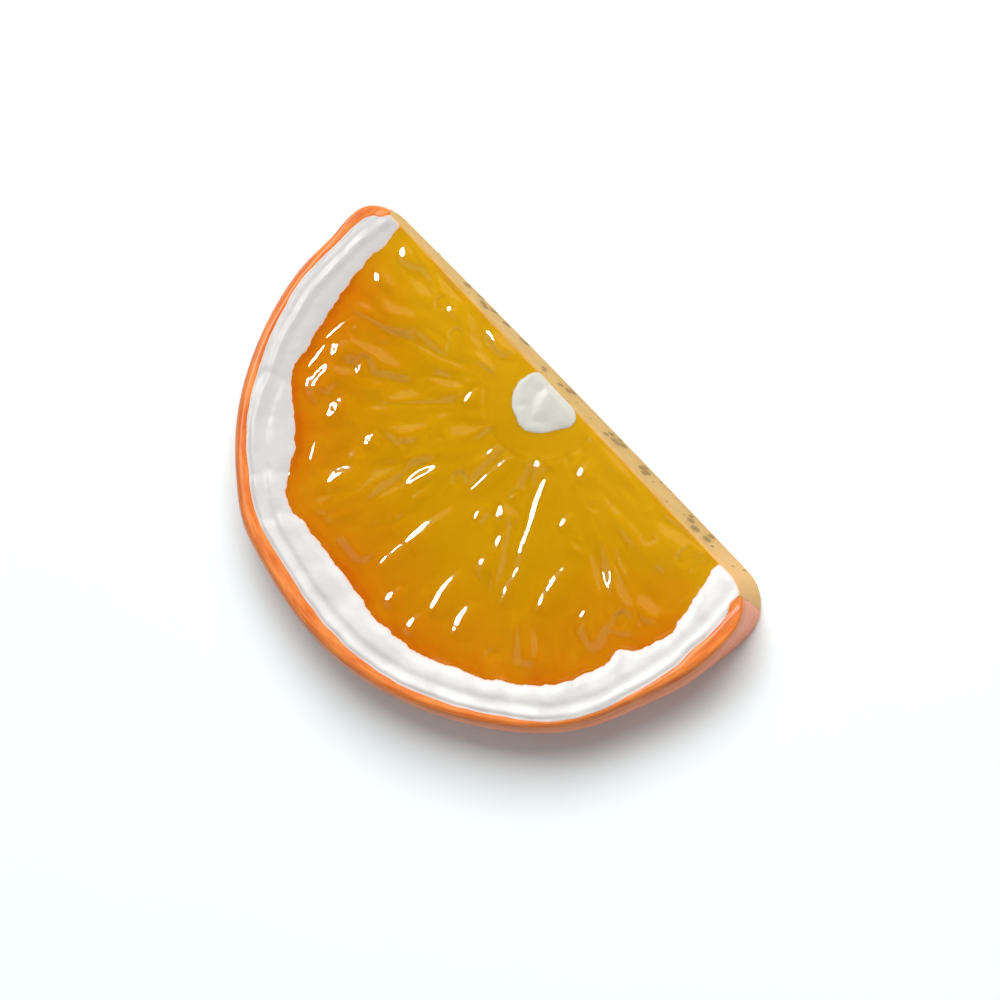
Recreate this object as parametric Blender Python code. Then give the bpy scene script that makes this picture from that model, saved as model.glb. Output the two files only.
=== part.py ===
"""A cast resin copy of an orange slice: a half-round slab with moulded pulp, pith and peel.

The slab lies flat, face up. X runs along the straight cut, Y out through it and Z up. The origin
is the centre of the slab's box at its underside. Lengths are in metres and angles in degrees.
"""

import math
import random

import bmesh
import bpy
import numpy as np
from mathutils import Vector
from mathutils.geometry import delaunay_2d_cdt

MM = 0.001

# Outline, seen from above. The circle's centre is inside the slab.
FACE_RADIUS = 41.1 * MM
CUT_OFFSET = 9.5 * MM  # from the circle's centre to the straight cut
CORNER_RADII = (4.2 * MM, 6.5 * MM)  # where the round edge meets the cut, at its -X and +X ends
# Uneven spots of the round edge: (direction, half width, how far it swells).
EDGE_SWELLS = (
    (-132, 24, 1.3 * MM), (-119, 7, 0.6 * MM), (-59, 22, -1.0 * MM),
    (-20, 11, -0.8 * MM), (-182, 8, -0.5 * MM),
)
END_FADE = 8.0  # degrees from the corners over which the swells come in

# Heights
FACE_LEVEL = 11.5 * MM  # underside to the mean face
RIND_FOOT, CUT_FOOT = 1.4 * MM, 0.8 * MM  # rounding at the underside
RIND_SHOULDER, CUT_SHOULDER = 1.3 * MM, 0.35 * MM  # rounding at the face
RIND_BULGE = 0.7 * MM  # how far the rind swells out under its shoulder
BULGE_TOP = 27 / 4  # makes the largest value of d * (1 - d)**2 one
RIND_LEAN = 0.6 * MM  # how far the rind draws in towards the underside
CUT_LEAN = 1.25 * MM  # the same at the cut's -X end; its +X end is upright
RIND_FADE = 18.0  # degrees of the round edge over which the rind's section turns into the cut's

# Peel edge and pith, as bands inside the round edge.
PEEL_WIDTH = 1.9 * MM
PEEL_SWELLS = ((-1, 10, 0.9 * MM), (-29, 15, -0.85 * MM), (-104, 27, 1.0 * MM))
PEEL_GROOVE = 0.3 * MM
RIDGE_INSET, RIDGE_WIDTH, RIDGE_HEIGHT = 3.0 * MM, 0.8 * MM, 0.4 * MM
CUT_FADE = (0.4 * MM, 2.0 * MM)  # from the cut: the relief is flat before, and full after
PITH_HEIGHT = 0.15 * MM
PULP_RADIUS = 33.7 * MM  # from the circle's centre to the pith's inner border
PULP_SWELLS = (
    (6, 5, -1.2 * MM), (-7, 7, 0.5 * MM), (-18, 3, -1.2 * MM), (-36, 8, 0.6 * MM),
    (-61, 5, -0.6 * MM), (-73, 8, -0.4 * MM), (-97, 14, -2.1 * MM), (-122, 5.5, 1.6 * MM),
    (-136, 5, -0.6 * MM), (-152, 6, 1.1 * MM), (-184, 9, 1.0 * MM),
)
MOAT_WIDTH, MOAT_DEPTH = 1.8 * MM, 0.45 * MM  # the dip where the pulp meets the pith

# Core, near the cut, from which the pulp radiates.
CORE = (-1.8 * MM, 6.4 * MM)
CORE_SIZE = (4.7 * MM, 3.9 * MM)  # half length along the cut, half width
CORE_HEIGHT = 0.45 * MM
CORE_RING = 8.4 * MM  # the smooth collar round the core ends here
MEMBRANES = (-19, -51, -85, -134, -159)
MEMBRANE_WIDTH, MEMBRANE_DEPTH = 0.7 * MM, 0.4 * MM

# Juice sacs: drops that point at the core, in rows from the collar outwards.
SAC_ROW = 5.2 * MM
SAC_PITCH = 3.1 * MM
SAC_LENGTH = (4.2 * MM, 6.6 * MM)  # half lengths, least and most
SAC_WIDTH = (1.3 * MM, 2.1 * MM)
SAC_HEIGHT = (0.45 * MM, 0.95 * MM)
SAC_MEAN = 0.45 * MM
SAC_SEED = 11

# Mesh
ARC_STEPS, CORNER_STEPS, CUT_STEPS = 96, 5, 42
FOOT_STEPS, WALL_STEPS, SHOULDER_STEPS = 3, 5, 3
EDGE_INSETS = (1.9 * MM, 2.5 * MM, 3.0 * MM, 3.6 * MM)  # face rings that follow the edge
FACE_SPACING = 1.25 * MM  # between the face's other points


def smooth_step(low, high, value):
    t = np.clip((value - low) / (high - low), 0, 1)
    return t * t * (3 - 2 * t)


def swell(angle, spots):
    """The sum of rounded swells at the given directions, for an array of angles in degrees."""
    total = np.zeros_like(angle)
    for direction, half_width, amount in spots:
        away = (angle - direction + 180) % 360 - 180
        total += amount * np.exp(-((away / half_width) ** 2))
    return total


def corner(radius):
    """Centre of a corner at the +X end, and the direction where the round edge runs into it."""
    y = CUT_OFFSET - radius
    x = math.sqrt((FACE_RADIUS - radius) ** 2 - y**2)
    return x, y, math.degrees(math.atan2(y, x))


def from_ends(angle):
    """Degrees of the round edge between each direction and the nearer corner."""
    left_end, right_end = (corner(radius)[2] for radius in CORNER_RADII)
    from_middle = (angle + 90 + 180) % 360 - 180
    return np.minimum(90 + right_end - from_middle, 90 + left_end + from_middle)


def edge_radius(angle):
    """The round edge's radius, which swells only away from its ends, so that it meets the corners."""
    return FACE_RADIUS + swell(angle, EDGE_SWELLS) * smooth_step(0, END_FADE, from_ends(angle))


def outline():
    """Points, outward normals and rind shares (1 on the round edge, 0 on the cut) round the slab."""
    left_x, left_y, left_end = corner(CORNER_RADII[0])
    right_x, right_y, right_end = corner(CORNER_RADII[1])
    points, normals, shares = [], [], []

    def add(x, y, direction, share):
        points.append((x, y))
        normals.append((math.cos(math.radians(direction)), math.sin(math.radians(direction))))
        shares.append(share)

    def add_corner(centre_x, centre_y, radius, start, stop):
        for angle in np.linspace(start, stop, CORNER_STEPS, endpoint=False):
            turn = math.radians(angle)
            add(centre_x + radius * math.cos(turn), centre_y + radius * math.sin(turn), angle, 0.0)

    for angle in np.linspace(-180 - left_end, right_end, ARC_STEPS, endpoint=False):
        radius = float(edge_radius(np.array([angle]))[0])
        x, y = radius * math.cos(math.radians(angle)), radius * math.sin(math.radians(angle))
        add(x, y, angle, float(smooth_step(0, RIND_FADE, from_ends(angle))))
    add_corner(right_x, right_y, CORNER_RADII[1], right_end, 90)
    for x in np.linspace(right_x, -left_x, CUT_STEPS, endpoint=False):
        add(x, CUT_OFFSET, 90, 0.0)
    add_corner(-left_x, left_y, CORNER_RADII[0], 90, 180 - left_end)
    return np.array(points), np.array(normals), np.array(shares)


def wall_rings(points, normals, shares):
    """Rings from the underside, round the foot, up the wall and over the shoulder."""
    foot = CUT_FOOT + (RIND_FOOT - CUT_FOOT) * shares
    shoulder = CUT_SHOULDER + (RIND_SHOULDER - CUT_SHOULDER) * shares
    cut_lean = CUT_LEAN * ((1 - points[:, 0] / FACE_RADIUS) / 2) ** 2
    lean = RIND_LEAN * shares + cut_lean * (1 - shares)
    profile = []
    for turn in np.linspace(0, math.pi / 2, FOOT_STEPS + 1):
        profile.append((lean + foot * (1 - math.sin(turn)), foot * (1 - math.cos(turn))))
    for depth in np.linspace(1, 0, WALL_STEPS + 2)[1:-1]:
        height = FACE_LEVEL - shoulder - depth * (FACE_LEVEL - shoulder - foot)
        bulge = RIND_BULGE * shares * BULGE_TOP * depth * (1 - depth) ** 2
        profile.append((lean * depth**2 - bulge, height))
    for turn in np.linspace(0, math.pi / 2, SHOULDER_STEPS + 1):
        height = FACE_LEVEL - shoulder * (1 - math.sin(turn))
        profile.append((shoulder * (1 - math.cos(turn)), height))
    return [np.column_stack([points - normals * inset[:, None], height]) for inset, height in profile]


def make_sacs():
    """Centre, pointing direction, half length, half width and height of every juice sac."""
    draw = random.Random(SAC_SEED)
    borders = sorted((0.0, *MEMBRANES, -180.0))
    sacs = []
    for start, end in zip(borders, borders[1:]):
        row = 0
        distance = CORE_RING + 1.5 * MM
        while distance < FACE_RADIUS + CUT_OFFSET:
            width = math.radians(end - start) * distance
            count = max(1, round(width / SAC_PITCH))
            for place in range(count):
                share = (place + 0.5 + 0.25 * (row % 2) + draw.uniform(-0.2, 0.2)) / (count + 0.25)
                angle = math.radians(start + (end - start) * min(share, 0.97))
                away = distance + draw.uniform(-1.6, 1.6) * MM
                pointing = angle + math.radians(draw.uniform(-7, 7))
                sacs.append((
                    CORE[0] + away * math.cos(angle), CORE[1] + away * math.sin(angle),
                    math.cos(pointing), math.sin(pointing),
                    draw.uniform(*SAC_LENGTH), draw.uniform(*SAC_WIDTH), draw.uniform(*SAC_HEIGHT),
                ))
            distance += SAC_ROW
            row += 1
    return sacs


def sac_relief(x, y):
    """How high the tallest sac stands at each point."""
    relief = np.zeros_like(x)
    for centre_x, centre_y, along_x, along_y, length, width, height in make_sacs():
        along = ((x - centre_x) * along_x + (y - centre_y) * along_y) / length
        taper = width * (1 + 0.35 * np.clip(along, -1, 1))
        across = ((y - centre_y) * along_x - (x - centre_x) * along_y) / taper
        inside = np.clip(1 - along**2 - across**2, 0, 1)
        relief = np.maximum(relief, height * inside**0.7)
    return relief


def face_height(x, y):
    """Height of the moulded face over the underside."""
    radius = np.hypot(x, y)
    angle = np.degrees(np.arctan2(y, x))
    inset = edge_radius(angle) - radius
    peel = PEEL_WIDTH + swell(angle, PEEL_SWELLS)
    pulp_radius = PULP_RADIUS + swell(angle, PULP_SWELLS)
    core_x, core_y = x - CORE[0], y - CORE[1]
    core_distance = np.hypot(core_x, core_y)

    height = -PEEL_GROOVE * np.exp(-(((inset - peel) / (0.5 * MM)) ** 2))
    height += RIDGE_HEIGHT * np.exp(-(((inset - RIDGE_INSET) / RIDGE_WIDTH) ** 2))
    pith = smooth_step(pulp_radius - 0.3 * MM, pulp_radius + 0.8 * MM, radius)
    height += PITH_HEIGHT * pith * smooth_step(RIDGE_INSET, RIDGE_INSET + 2 * MM, inset)
    border = (radius - pulp_radius + MOAT_WIDTH / 2) / (MOAT_WIDTH / 2)
    height -= MOAT_DEPTH * np.exp(-(border**2))

    membranes = np.zeros_like(x)
    for direction in MEMBRANES:
        turn = math.radians(direction)
        sideways = core_y * math.cos(turn) - core_x * math.sin(turn)
        ahead = core_x * math.cos(turn) + core_y * math.sin(turn) > 0
        membranes = np.maximum(membranes, ahead * np.exp(-((sideways / MEMBRANE_WIDTH) ** 2)))
    pulp = smooth_step(CORE_RING - 1.5 * MM, CORE_RING + 1 * MM, core_distance)
    pulp *= 1 - smooth_step(pulp_radius - 2 * MM, pulp_radius - 0.4 * MM, radius)
    height += pulp * ((sac_relief(x, y) - SAC_MEAN) * (1 - membranes) - MEMBRANE_DEPTH * membranes)

    core = (core_x / CORE_SIZE[0]) ** 2 + (core_y / CORE_SIZE[1]) ** 2
    height += CORE_HEIGHT * (1 - smooth_step(0.7, 1.15, core))
    return FACE_LEVEL + height * smooth_step(*CUT_FADE, CUT_OFFSET - y)


def raised(points):
    """Points of the plan, lifted to the moulded face."""
    return np.column_stack([points, face_height(points[:, 0], points[:, 1])])


def edge_rings(points, normals, shares):
    """Flat rings just inside the face's edge."""
    shoulder = CUT_SHOULDER + (RIND_SHOULDER - CUT_SHOULDER) * shares
    return [points - normals * np.maximum(inset, shoulder)[:, None] for inset in EDGE_INSETS]


def even_points(ring):
    """A triangular grid of points over the plan, clear of the ring round it."""
    low, high = ring.min(axis=0), ring.max(axis=0)
    rows = np.arange(low[1], high[1], FACE_SPACING * math.sqrt(3) / 2)
    found = []
    for number, y in enumerate(rows):
        x = np.arange(low[0] + FACE_SPACING / 2 * (number % 2), high[0], FACE_SPACING)
        row = np.column_stack([x, np.full_like(x, y)])
        gaps = np.linalg.norm(row[:, None, :] - ring[None, :, :], axis=2).min(axis=1)
        inside = np.hypot(x, y) < FACE_RADIUS - EDGE_INSETS[-1]
        found.append(row[inside & (gaps > 0.7 * FACE_SPACING) & (y < CUT_OFFSET - EDGE_INSETS[-1])])
    return np.concatenate(found)


def skin(mesh, rings):
    """Faces between each ring and the next, and a flat underside. Gives the last ring's corners."""
    loops = [[mesh.verts.new(point) for point in ring] for ring in rings]
    for lower, upper in zip(loops, loops[1:]):
        for i in range(len(lower)):
            j = (i + 1) % len(lower)
            mesh.faces.new((lower[i], lower[j], upper[j], upper[i]))
    mesh.faces.new(reversed(loops[0]))
    return loops[-1]


def fill_face(mesh, corners, ring):
    """Even triangles inside the last ring."""
    plan = np.concatenate([ring, even_points(ring)])
    border = [(i, (i + 1) % len(ring)) for i in range(len(ring))]
    inside_border = 1
    points, _, faces, sources, _, _ = delaunay_2d_cdt(
        [Vector(point) for point in plan], border, [], inside_border, 1e-7
    )
    lifted = raised(np.array(points))
    verts = []
    for place, source in zip(lifted, sources):
        on_border = [i for i in source if i < len(corners)]
        verts.append(corners[on_border[0]] if on_border else mesh.verts.new(place))
    for face in faces:
        mesh.faces.new([verts[i] for i in face])


def stand_on_origin(mesh):
    """Moves the mesh so that the origin is the centre of its box, at its underside."""
    places = np.array([vert.co for vert in mesh.verts])
    low, high = places.min(axis=0), places.max(axis=0)
    shift = (-(low[0] + high[0]) / 2, -(low[1] + high[1]) / 2, -low[2])
    bmesh.ops.translate(mesh, verts=mesh.verts, vec=shift)


def resin_material():
    material = bpy.data.materials.new("resin")
    material.use_nodes = True
    shader = material.node_tree.nodes["Principled BSDF"]
    shader.inputs["Base Color"].default_value = (0.62, 0.28, 0.01, 1)
    shader.inputs["Roughness"].default_value = 0.08
    shader.inputs["Metallic"].default_value = 0.0
    shader.inputs["Subsurface Weight"].default_value = 0.4
    return material


def build_slice(collection):
    points, normals, shares = outline()
    flat_rings = edge_rings(points, normals, shares)
    mesh = bmesh.new()
    rings = wall_rings(points, normals, shares) + [raised(ring) for ring in flat_rings]
    corners = skin(mesh, rings)
    fill_face(mesh, corners, flat_rings[-1])
    stand_on_origin(mesh)
    data = bpy.data.meshes.new("orange_slice")
    mesh.to_mesh(data)
    mesh.free()
    data.shade_smooth()
    data.materials.append(resin_material())
    slab = bpy.data.objects.new("orange_slice", data)
    collection.objects.link(slab)


def main():
    for old in list(bpy.data.objects):
        bpy.data.objects.remove(old)
    collection = bpy.data.collections.new("orange slice")
    bpy.context.scene.collection.children.link(collection)
    build_slice(collection)


main()
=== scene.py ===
"""Looks of a cast resin orange slice: clear amber pulp under coats of pith and peel paint.

The moulded shapes are worked out about the centre of the slice's round edge, with X along the
straight cut, Y out through it and Z up, and then placed in the frame's box. Lengths are in metres
and angles in degrees.
"""

import math
import random

import bpy
import numpy as np
from mathutils import Matrix, Vector
from mathutils.geometry import delaunay_2d_cdt


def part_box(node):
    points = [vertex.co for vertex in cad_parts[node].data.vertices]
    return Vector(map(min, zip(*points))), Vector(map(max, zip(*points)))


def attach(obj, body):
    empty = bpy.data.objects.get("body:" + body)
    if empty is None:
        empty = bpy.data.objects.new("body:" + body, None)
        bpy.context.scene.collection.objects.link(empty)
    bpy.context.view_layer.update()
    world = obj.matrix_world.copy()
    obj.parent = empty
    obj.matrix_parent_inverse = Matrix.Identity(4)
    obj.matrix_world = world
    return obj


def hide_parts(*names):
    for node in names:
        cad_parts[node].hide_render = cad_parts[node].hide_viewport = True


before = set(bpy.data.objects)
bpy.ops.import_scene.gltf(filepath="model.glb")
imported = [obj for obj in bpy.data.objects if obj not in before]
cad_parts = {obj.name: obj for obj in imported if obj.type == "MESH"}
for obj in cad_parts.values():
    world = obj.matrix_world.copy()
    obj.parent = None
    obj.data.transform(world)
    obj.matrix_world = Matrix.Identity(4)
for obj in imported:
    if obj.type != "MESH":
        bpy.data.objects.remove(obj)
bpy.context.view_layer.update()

MM = 0.001

# Outline, as in the CAD part
FACE_RADIUS = 41.1 * MM
CUT_OFFSET = 9.5 * MM
CORNER_RADII = (4.2 * MM, 6.5 * MM)
EDGE_SWELLS = (
    (-132, 24, 1.3 * MM), (-119, 7, 0.6 * MM), (-59, 22, -1.0 * MM),
    (-20, 11, -0.8 * MM), (-182, 8, -0.5 * MM),
)
END_FADE = 8.0
EDGE_CHANGE = (-1.2, 0.6)  # radians from the round edge's middle: the -X value before, the +X one after

# Heights, as in the CAD part
FACE_LEVEL = 11.5 * MM
RIND_FOOT, CUT_FOOT = 1.4 * MM, 0.8 * MM
RIND_SHOULDER, CUT_SHOULDER = 1.3 * MM, 0.35 * MM
RIND_BULGE = 0.7 * MM
BULGE_TOP = 27 / 4
RIND_LEAN = 0.6 * MM
CUT_LEAN = 1.25 * MM
RIND_FADE = 18.0
RELIEF_LIMIT, LIMIT_BLEND = 0.41 * MM, 0.03 * MM  # the relief is pressed to stay under this
WALL_ROOM = 0.1 * MM  # the resin stands this far inside the CAD walls, which leaves room for paint
UNDER_ROOM = 0.1 * MM  # and this far over the CAD underside
UNDER_LEVEL, UNDER_LIMIT = 0.15 * MM, 0.5 * MM  # the grooves mirror the face's relief under this level
UNDER_SHRINK = 0.98
UNDER_EDGE = (0.3 * MM, 2.5 * MM)  # from the foot: no grooves before, whole grooves after

# Peel and pith bands, from the edge inwards
PEEL_WIDTH = 1.9 * MM
PEEL_SWELLS = (
    (-1, 10, 0.7 * MM), (-29, 15, -0.85 * MM), (-104, 27, 1.0 * MM), (-175, 16, -0.4 * MM),
)
PEEL_WAVE = (0.12 * MM, 3 * MM)  # height and length of its border's waves
GROOVE_WIDTH = 0.45 * MM
GROOVE_DEPTH = (0.08 * MM, 0.24 * MM)  # of the line inside the peel, at -X and at +X
PEEL_ENDS = (88, 57)  # degrees round the -X and +X corners at which the peel stops
PEEL_RETREAT = 0.2  # how far it draws back down the wall, of the depth
PEEL_RAG = (0.25 * MM, 1.7 * MM)  # height and length of the waves of its ends
PEEL_TAPER = (-0.5 * MM, 1 * MM)  # over which its width grows from its ends
PEEL_OVERLAP = 0.4 * MM  # how far it covers the pith's coat
PITH_END = 0.12 * MM  # from the cut and its corners to the pith's rounded ends
PITH_RISE = (0.05 * MM, 0.22 * MM)  # of its inner band, at -X and at +X
RIDGE_PLACE = (2.0 * MM, 0.5 * MM)  # from the peel to the pith's ridge, at -X and at +X
RIDGE_WIDTH, RIDGE_HEIGHT = (0.95 * MM, 0.7 * MM), (0.18 * MM, 0.16 * MM)
RIDGE_WAVE = (0.2, 5 * MM)  # of its height: share and length
GUTTER_STEP, GUTTER_WIDTH, GUTTER_DEPTH = (2.0 * MM, 1.35 * MM), 0.75 * MM, 0.22 * MM
PITH_CHANGE = (-75, -20)  # degrees from the middle of the round edge: the -X form before, the +X after
PITH_DRIFT = (0.2 * MM, 9 * MM)  # height and length of the waves of the ridge's course
PITH_FOLDS = (
    (-148.7, 0.9 * MM), (-128.6, 0.8 * MM), (-118.1, 0.7 * MM), (-39.1, 0.9 * MM), (170, 1.1 * MM),
)
FOLD_DEPTH = 0.1 * MM
FOLD_WANDER = (0.7 * MM, 2 * MM)
BAND_EDGES = (1.6 * MM, 1 * MM)  # over which the inner band rises, by the pulp and by the gutter
BRUSH_WAVES = ((0.03 * MM, 0.08 * MM), 3.6 * MM)  # height at -X and at +X, and length
BRUSH_GRAIN = (0.015 * MM, 1.3 * MM)
PULP_RADIUS = 33.7 * MM
PULP_SWELLS = (
    (8, 6, -0.4 * MM), (-5, 7, 0.9 * MM), (-18, 3, -1.2 * MM), (-36, 8, 0.6 * MM),
    (-61, 5, -0.6 * MM), (-76, 9, -0.7 * MM), (-97, 14, -2.1 * MM), (-122, 5.5, 1.6 * MM),
    (-136, 5, -0.6 * MM), (-152, 6, 1.1 * MM), (-184, 9, 0.5 * MM), (-196, 5, 2.0 * MM),
)
PULP_WAVES = ((0.25 * MM, 2.4 * MM), (0.12 * MM, 0.8 * MM))

# Channel between the pith and the pulp
CHANNEL_WALL = 0.7 * MM
CHANNEL_WIDTH, CHANNEL_SLOPE = 1.5 * MM, 2.6 * MM
CHANNEL_DEPTH = (0.07 * MM, 0.1 * MM)  # at -X and at +X
WIDTH_WAVE, DEPTH_WAVE = (0.35, 7 * MM), (0.6, 3 * MM)  # share and length

# Core and its collar
CORE = (-1.8 * MM, 6.4 * MM)
CORE_RADIUS = 4.3 * MM
CORE_SWELLS = ((16, 20, 1.3 * MM), (178, 50, 0.3 * MM), (90, 25, -0.6 * MM), (-78, 15, 0.35 * MM))
CORE_WAVE = (0.12 * MM, 0.9 * MM)
CORE_HEIGHT, CORE_EDGE = 0.12 * MM, 0.6 * MM
CORE_FOLDS, FOLDS_EDGE = 0.45 * MM, 1.6 * MM
FOLD_LENGTH, FOLD_STRETCH, FOLD_LEAN = 2.9 * MM, 2.5, 0.1
CORE_RING, RING_WIDTH, RING_DEPTH = 8.4 * MM, 0.3 * MM, 0.05 * MM
MEMBRANES = (-19, -51, -85, -134, -159)
MEMBRANE_WIDTH, MEMBRANE_DEPTH = 0.4 * MM, 0.08 * MM

# Zones of the face: where the relief of each is none, and where it is whole
PITH_BY_PULP, PITH_BY_PEEL = (0.2 * MM, -0.4 * MM), (-0.3 * MM, 0.5 * MM)
PULP_BY_PITH = (-0.2 * MM, 0.2 * MM)
SACS_BY_CORE, SACS_BY_PITH = (CORE_RING - 1.5 * MM, CORE_RING + 1 * MM), (1.5 * MM, 4 * MM)
CALM_EDGE = 1.4 * MM  # the relief fades this near the slab's edge, except along the peel
PEEL_EDGE = (2 * MM, 3 * MM)  # how much nearer it may come there, and over which length

# Pulp: swells that run out from the core, (cells round a full circle, length, height), near and far
NEAR_SWELLS = ((23, 7 * MM, 0.62 * MM), (50, 4 * MM, 0.24 * MM))
FAR_SWELLS = ((42, 8 * MM, 0.66 * MM), (88, 4 * MM, 0.25 * MM))
SWELL_CHANGE = (13 * MM, 24 * MM)  # from the core: only the near ones before, only the far ones after
SWELL_BEND, BEND_LENGTH, BEND_RADIUS = 0.35, 11 * MM, 40 * MM
PULP_GRAIN = (0.006 * MM, 0.7 * MM)

# Juice sacs: low drops that point at the core, which overlap
SAC_ENDS = (8.0, -188.0)  # directions from the core at which they stop
SAC_START = (0.5 * MM, 3 * MM)  # from the collar to their first row, least and most
SAC_ROW, SAC_PITCH = 4.6 * MM, 3.2 * MM
SAC_STRAY = (0.5, 0.4)  # how far a sac may lie off its place, of the row and of the pitch
SAC_TURN = 12
SAC_LENGTH = (3.6 * MM, 6.4 * MM)  # half lengths, least and most
SAC_WIDTH = (1.3 * MM, 2.4 * MM)
SAC_HEIGHT = (0.05 * MM, 0.16 * MM)
SAC_LIFT = 0.05 * MM
SAC_LEAN = 0.7  # how far a sac's top may sit off its middle, of its half width
SAC_FLOOR, SAC_BLEND = -0.15 * MM, 0.01 * MM
SAC_REACH, SAC_DROP = 1.7, -8  # no sac counts past this many half lengths or under this many heights
SAC_SEED = 4

# Crests of the pulp that catch the light: (start, end, half width), in millimetres.
CREST_SLOPE = 0.196
CREST_FACING = 189  # direction in which their steeper flanks face
CREST_BACK = 2.4  # how many times wider the other flanks are
CREST_TAPER = 0.25  # how much narrower a crest is at its ends
CREST_TIP = 1.5  # how far it runs on past them, in half widths
CRESTS = (
    ((0.0, -14.4), (-1.1, -21.0), 1.4), ((-1.3, -21.6), (-1.8, -26.5), 1.0),
    ((6.7, -0.8), (9.8, -6.9), 1.1), ((9.8, -6.9), (12.6, -11.9), 1.2),
    ((12.8, -11.9), (14.3, -17.0), 1.1), ((7.2, -19.8), (8.0, -25.1), 1.3),
    ((17.6, -7.7), (18.8, -13.6), 1.3), ((0.6, -2.8), (0.0, -9.3), 0.8),
    ((-22.3, -14.7), (-22.1, -16.4), 1.6), ((-15.7, -14.7), (-15.6, -15.7), 1.0),
    ((9.6, 5.0), (9.7, 3.6), 1.3), ((-9.7, 0.8), (-9.6, -1.2), 0.9),
    ((4.9, -5.2), (4.8, -6.4), 0.6), ((2.7, -27.4), (2.5, -29.2), 1.0),
    ((7.5, -27.6), (7.6, -30.1), 1.1), ((11.8, -21.7), (12.6, -24.9), 1.3),
    ((12.8, -2.0), (12.9, -3.4), 1.0), ((-30.1, -5.0), (-30.6, -9.6), 0.4),
    ((-30.0, -10.6), (-29.5, -14.6), 0.4), ((-21.2, -21.3), (-19.1, -24.6), 0.4),
    ((31.8, 8.0), (32.6, 5.2), 0.4), ((32.6, 3.1), (32.9, -1.3), 0.4),
)
CREST_SHADE = (3.0, 0.9)  # half widths off: the pulp's own relief is whole beyond, faded within
CREST_FADE = 0.92
CREST_EDGE = 1 * MM  # from the pith, over which they grow
SPARK_COUNT, SPARK_TURN = 30, 25
SPARK_ANGLES, SPARK_AWAY = (-185, 5), (9 * MM, 33 * MM)  # about the core
SPARK_WIDTH, SPARK_LENGTH = (0.25 * MM, 0.5 * MM), (0.3 * MM, 1.6 * MM)

# Bubbles inside the cut: (from, to, how many) of the crowded places and of the small stray ones
BUBBLE_RUNS = ((-23 * MM, -14.5 * MM, 7), (-14 * MM, -1 * MM, 7), (7 * MM, 29 * MM, 15))
STRAY_RUN = (-33 * MM, 35 * MM, 18)
BUBBLE_DEPTH, BUBBLE_RADIUS = (3.5 * MM, 9 * MM), (0.45 * MM, 0.8 * MM)
STRAY_DEPTH, STRAY_RADIUS = (1 * MM, 9.5 * MM), (0.15 * MM, 0.3 * MM)
BUBBLE_SEED = 5
BUBBLE_TALL = 3.2  # height over width
BUBBLE_FOOT, BUBBLE_BOW = 0.025 * MM, 0.04 * MM  # how far the border and then the middle stand out
BUBBLE_RINGS, BUBBLE_SIDES = 4, 14

# Meshes
ARC_STEPS, CORNER_STEPS, CUT_STEPS = 460, 20, 240
FOOT_STEPS, WALL_STEPS, SHOULDER_STEPS = 5, 14, 7
FACE_SPACING, UNDER_SPACING = 0.25 * MM, 0.75 * MM
BORDER_ROOM = 0.7  # least distance between a face's grid and its border, in spacings
WELD = 0.001 * MM
GRAIN_RADIUS = 20 * MM  # at which the resin's streaks have their true width
PAINT_THICKNESS = 0.07 * MM
PAINT_SINK = 0.03 * MM  # how far a coat's border dips into the resin
PAINT_EDGE = 0.25 * MM  # over which a coat reaches its full thickness

# Camera: it looks down, leaning over the rind's +X end.
SIGHT_TURN = 45.7  # direction of the picture's right in the frame
SIGHT_TILT = 15.5
LENS, SENSOR = 400.0, 36.0
PICTURE_WIDTH = 141.8 * MM  # at the face
SIGHT_OFFSET = (-2.7 * MM, -7.94 * MM)  # from the round edge's centre to the picture's

# Lights: (to the right, up the picture, up), distance, size and power
WINDOW = ((-0.582, 0.235, 0.779), 0.6, (0.24, 0.048), 3.2)
SOFT_KEY = ((0.14, 0.57, 0.81), 1.2, (0.8, 0.8), 18.9)
DOME, DARK = 0.36, 0.02  # strength of the studio dome and of its dark patch
DARK_EDGE = (20, 17.5)  # degrees from the patch's middle at which it fades
FLOOR_SIZE = 1.5
DOME_COLOUR, FLOOR_COLOUR = (0.95, 0.985, 1, 1), (0.82, 0.89, 0.9, 1)


def smooth_step(low, high, value):
    """0 at low, 1 at high, with soft ends."""
    t = np.clip((value - low) / (high - low), 0, 1)
    return t * t * (3 - 2 * t)


def swell(angle, spots):
    """The sum of rounded swells at the given directions, for an array of angles in degrees."""
    total = np.zeros_like(angle)
    for direction, half_width, amount in spots:
        away = (angle - direction + 180) % 360 - 180
        total += amount * np.exp(-((away / half_width) ** 2))
    return total


def soft_noise(x, y, size, seed):
    """Smooth random values, nearly all from -1 to 1, that change over the given size."""
    cells, offset, gain = 256, 1000.5, 1.8
    turns = np.random.default_rng(seed).uniform(0, 2 * math.pi, (cells, cells))
    across, up = np.asarray(x) / size + offset, np.asarray(y) / size + offset
    column, row = np.floor(across).astype(int), np.floor(up).astype(int)
    across, up = across - column, up - row
    total = 0
    for i in (0, 1):
        for j in (0, 1):
            turn = turns[(row + j) % cells, (column + i) % cells]
            weight = smooth_step(1, 0, np.abs(across - i)) * smooth_step(1, 0, np.abs(up - j))
            total = total + weight * ((across - i) * np.cos(turn) + (up - j) * np.sin(turn))
    return gain * total


def wave(place, form, seed, aside=0.0):
    """Soft noise of the given height and length along one direction, or over two."""
    height, length = form
    return height * soft_noise(place, aside + 0 * place, length, seed)


def along_edge(arc, pair):
    """A value that changes from the first of a pair at -X to the second at +X."""
    return np.interp(arc / FACE_RADIUS, EDGE_CHANGE, pair)


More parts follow.
